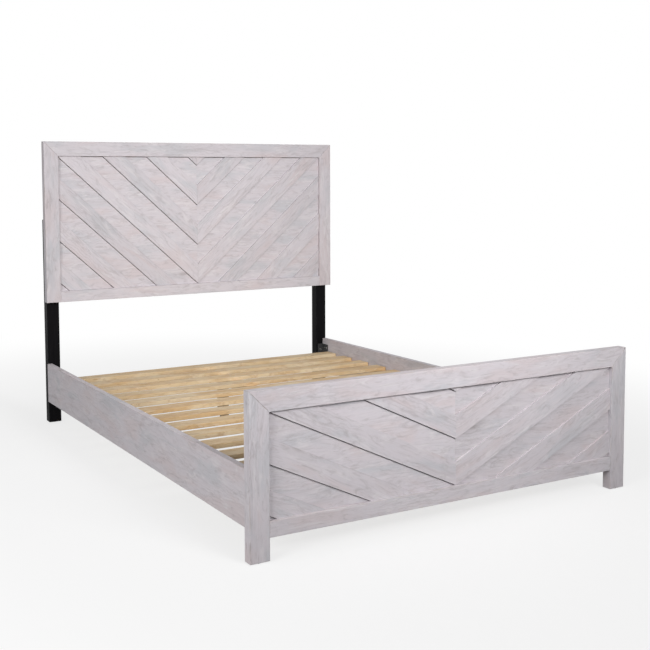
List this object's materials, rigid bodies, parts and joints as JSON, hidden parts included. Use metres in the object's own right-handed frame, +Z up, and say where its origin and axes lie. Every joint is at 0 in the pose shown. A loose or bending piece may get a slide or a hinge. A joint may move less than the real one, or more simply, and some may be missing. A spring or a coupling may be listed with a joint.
{
  "type": "wooden bed frame",
  "caption": "Slatted wooden bed frame with a tall headboard and a low footboard, both mitred frames filled with two-level chevron planks, and side rails on bolted brackets.",
  "frame": {"origin": "middle of the bed's footprint, on the floor", "axes": "+X across the bed, +Y along the bed towards the headboard, +Z up"},
  "size_m": [1.65, 2.238, 1.405],
  "materials": {
    "whitewashed_wood": "whitewashed plank laminate, satin",
    "black_paint": "black painted wood, satin",
    "bare_pine": "bare planed pine",
    "backer_board": "brown hardboard, smooth",
    "black_steel": "black powder coat",
    "zinc_steel": "zinc plated",
    "insert_steel": "yellow zinc plated",
    "black_plastic": "moulded nylon"
  },
  "bodies": {
    "bed": {"headboard_top_rail": "whitewashed_wood", "headboard_left_stile": "whitewashed_wood", "headboard_right_stile": "whitewashed_wood", "headboard_low_rail": "whitewashed_wood", "headboard_backer": "backer_board", "headboard_left_raised_planks": "whitewashed_wood", "headboard_left_flat_planks": "whitewashed_wood", "headboard_right_raised_planks": "whitewashed_wood", "headboard_right_flat_planks": "whitewashed_wood", "left_headboard_leg": "black_paint", "right_headboard_leg": "black_paint", "footboard_top_rail": "whitewashed_wood", "footboard_left_post": "whitewashed_wood", "footboard_right_post": "whitewashed_wood", "footboard_low_rail": "whitewashed_wood", "footboard_backer": "backer_board", "footboard_left_raised_planks": "whitewashed_wood", "footboard_left_flat_planks": "whitewashed_wood", "footboard_right_raised_planks": "whitewashed_wood", "footboard_right_flat_planks": "whitewashed_wood", "left_side_rail": "whitewashed_wood", "right_side_rail": "whitewashed_wood", "left_slat_cleat": "bare_pine", "right_slat_cleat": "bare_pine", "slat_01": "bare_pine", "slat_02": "bare_pine", "slat_03": "bare_pine", "slat_04": "bare_pine", "slat_05": "bare_pine", "slat_06": "bare_pine", "slat_07": "bare_pine", "slat_08": "bare_pine", "slat_09": "bare_pine", "slat_10": "bare_pine", "slat_11": "bare_pine", "slat_12": "bare_pine", "slat_13": "bare_pine", "centre_beam": "bare_pine", "centre_leg_foot_end": "bare_pine", "centre_leg_middle": "bare_pine", "centre_leg_head_end": "bare_pine", "footboard_rail_brackets": "black_steel", "headboard_rail_brackets": "black_steel", "rail_bracket_bolts": "zinc_steel", "rail_bracket_inserts": "insert_steel", "rail_bracket_screws": "zinc_steel", "headboard_leg_bolts": "zinc_steel", "headboard_leg_inserts": "insert_steel", "cleat_screws": "zinc_steel", "slat_screws": "zinc_steel", "centre_leg_hanger_bolts": "zinc_steel", "levelling_foot_inserts": "insert_steel", "headboard_dowels": "bare_pine", "footboard_dowels": "bare_pine", "floor_glides": "black_plastic"},
    "foot_end_foot": {"levelling_foot_foot_end": "black_plastic"},
    "middle_foot": {"levelling_foot_middle": "black_plastic"},
    "head_end_foot": {"levelling_foot_head_end": "black_plastic"}
  },
  "joints": [
    {"name": "foot_end_foot_screw", "type": "slide", "parent": "bed", "child": "foot_end_foot", "axis": [0, 0, -1], "range_m": [0, 0.015]},
    {"name": "middle_foot_screw", "type": "slide", "parent": "bed", "child": "middle_foot", "axis": [0, 0, -1], "range_m": [0, 0.015]},
    {"name": "head_end_foot_screw", "type": "slide", "parent": "bed", "child": "head_end_foot", "axis": [0, 0, -1], "range_m": [0, 0.015]}
  ]
}
